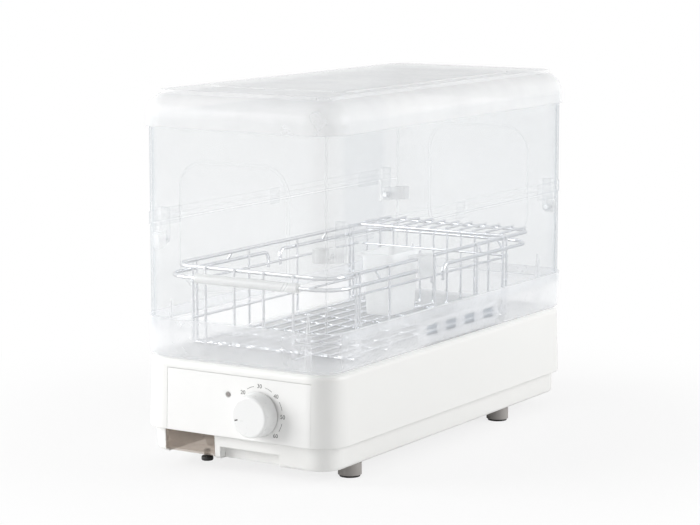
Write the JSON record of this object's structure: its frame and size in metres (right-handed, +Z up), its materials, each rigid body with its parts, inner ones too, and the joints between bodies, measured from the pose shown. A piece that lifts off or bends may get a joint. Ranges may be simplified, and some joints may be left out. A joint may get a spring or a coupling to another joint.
{
  "type": "dish dryer",
  "caption": "Slim countertop dish dryer with a white warm-air base, timer knob, drain cup, frosted drip tray, wire rack and clear walls under a clear hinged lid.",
  "frame": {"origin": "middle of the footprint on the surface that it stands on", "axes": "+Z up, front with the timer knob faces -Y, +X to the right of someone facing the front"},
  "size_m": [0.226, 0.5114, 0.3665],
  "materials": {
    "white_shell": "satin moulded",
    "panel_white": "satin",
    "lamp_amber": "clear tinted",
    "lamp_glass": "clear",
    "dark_plastic": "moulded",
    "steel": "plain",
    "foot_plastic": "moulded",
    "rubber": "moulded",
    "smoke_clear": "smoky clear",
    "pipe_plastic": "moulded",
    "heater_alloy": "plain",
    "filter_foam": "open foam",
    "frosted": "frosted",
    "clear_wall": "clear",
    "clear_cap": "clear, slightly milky",
    "clear_grip": "clear, slightly milky",
    "socket_white": "moulded",
    "wire_chrome": "polished",
    "grip_white": "moulded",
    "cup_white": "translucent"
  },
  "bodies": {
    "base": {"base_housing": "white_shell", "screw_posts": "white_shell", "base_bottom": "white_shell", "drain_bay": "white_shell", "control_panel": "panel_white", "lamp_lens": "lamp_amber", "power_lamp": "lamp_glass", "timer_case": "dark_plastic", "feet": "foot_plastic", "foot_pads": "rubber", "case_screws": "steel", "drain_pipe": "pipe_plastic", "fan_scroll": "dark_plastic", "fan_motor": "steel", "motor_bracket": "steel", "motor_screws": "steel", "heater_element": "heater_alloy", "thermostat": "heater_alloy", "thermal_fuse": "heater_alloy", "intake_grille": "white_shell", "intake_filter": "filter_foam", "terminal_block": "dark_plastic", "cord_bushing": "dark_plastic"},
    "timer": {"timer_knob": "white_shell", "timer_shaft": "steel"},
    "fan": {"fan_wheel": "dark_plastic", "motor_spindle": "steel"},
    "drain_cup": {"drain_cup": "smoke_clear"},
    "drain_plug": {"drain_plug": "rubber"},
    "tray": {"drip_tray": "frosted", "air_hood": "frosted"},
    "walls": {"front_panel": "clear_wall", "rear_panel": "clear_wall", "left_wall": "clear_wall", "right_wall": "clear_wall", "hinge_sockets": "socket_white"},
    "lid": {"lid_cap": "clear_cap", "cap_ribs": "clear_cap", "lid_right_side": "clear_wall", "lid_left_side": "clear_wall", "lid_grips": "clear_grip", "lid_catches": "clear_grip", "hinge_pins": "steel"},
    "rack": {"rack_upper_rim": "wire_chrome", "rack_front_loop": "wire_chrome", "rack_rear_loop": "wire_chrome", "rack_right_grid": "wire_chrome", "rack_left_grid": "wire_chrome", "rack_front_grid": "wire_chrome", "rack_rear_grid": "wire_chrome", "rack_floor": "wire_chrome", "rack_links": "wire_chrome", "cup_shelf": "wire_chrome", "handle_grip": "grip_white"},
    "cutlery_cup": {"cutlery_cup": "cup_white"}
  },
  "joints": [
    {"name": "timer_turn", "type": "hinge", "parent": "base", "child": "timer", "pos_m": [0.0305, -0.23795, 0.0646], "axis": [0, 1, 0], "range_deg": [0, 270]},
    {"name": "fan_spin", "type": "hinge", "parent": "base", "child": "fan", "pos_m": [0, 0.14905, 0.06], "axis": [0, 0, 1], "continuous": true},
    {"name": "drain_pull", "type": "slide", "parent": "base", "child": "drain_cup", "axis": [0, -1, 0], "range_m": [0, 0.058]},
    {"name": "plug_pull", "type": "slide", "parent": "drain_cup", "child": "drain_plug", "axis": [0, 0, -1], "range_m": [0, 0.005]},
    {"name": "tray_lift", "type": "slide", "parent": "base", "child": "tray", "axis": [0, 0, 1], "range_m": [0, 0.05]},
    {"name": "walls_lift", "type": "slide", "parent": "tray", "child": "walls", "axis": [0, 0, 1], "range_m": [0, 0.22]},
    {"name": "lid_open", "type": "hinge", "parent": "walls", "child": "lid", "pos_m": [-0.1015, 0.00305, 0.219], "axis": [0, -1, 0], "range_deg": [0, 95]},
    {"name": "rack_lift", "type": "slide", "parent": "tray", "child": "rack", "axis": [0, 0, 1], "range_m": [0, 0.06]},
    {"name": "cup_lift", "type": "slide", "parent": "rack", "child": "cutlery_cup", "axis": [0, 0, 1], "range_m": [0, 0.07]}
  ]
}
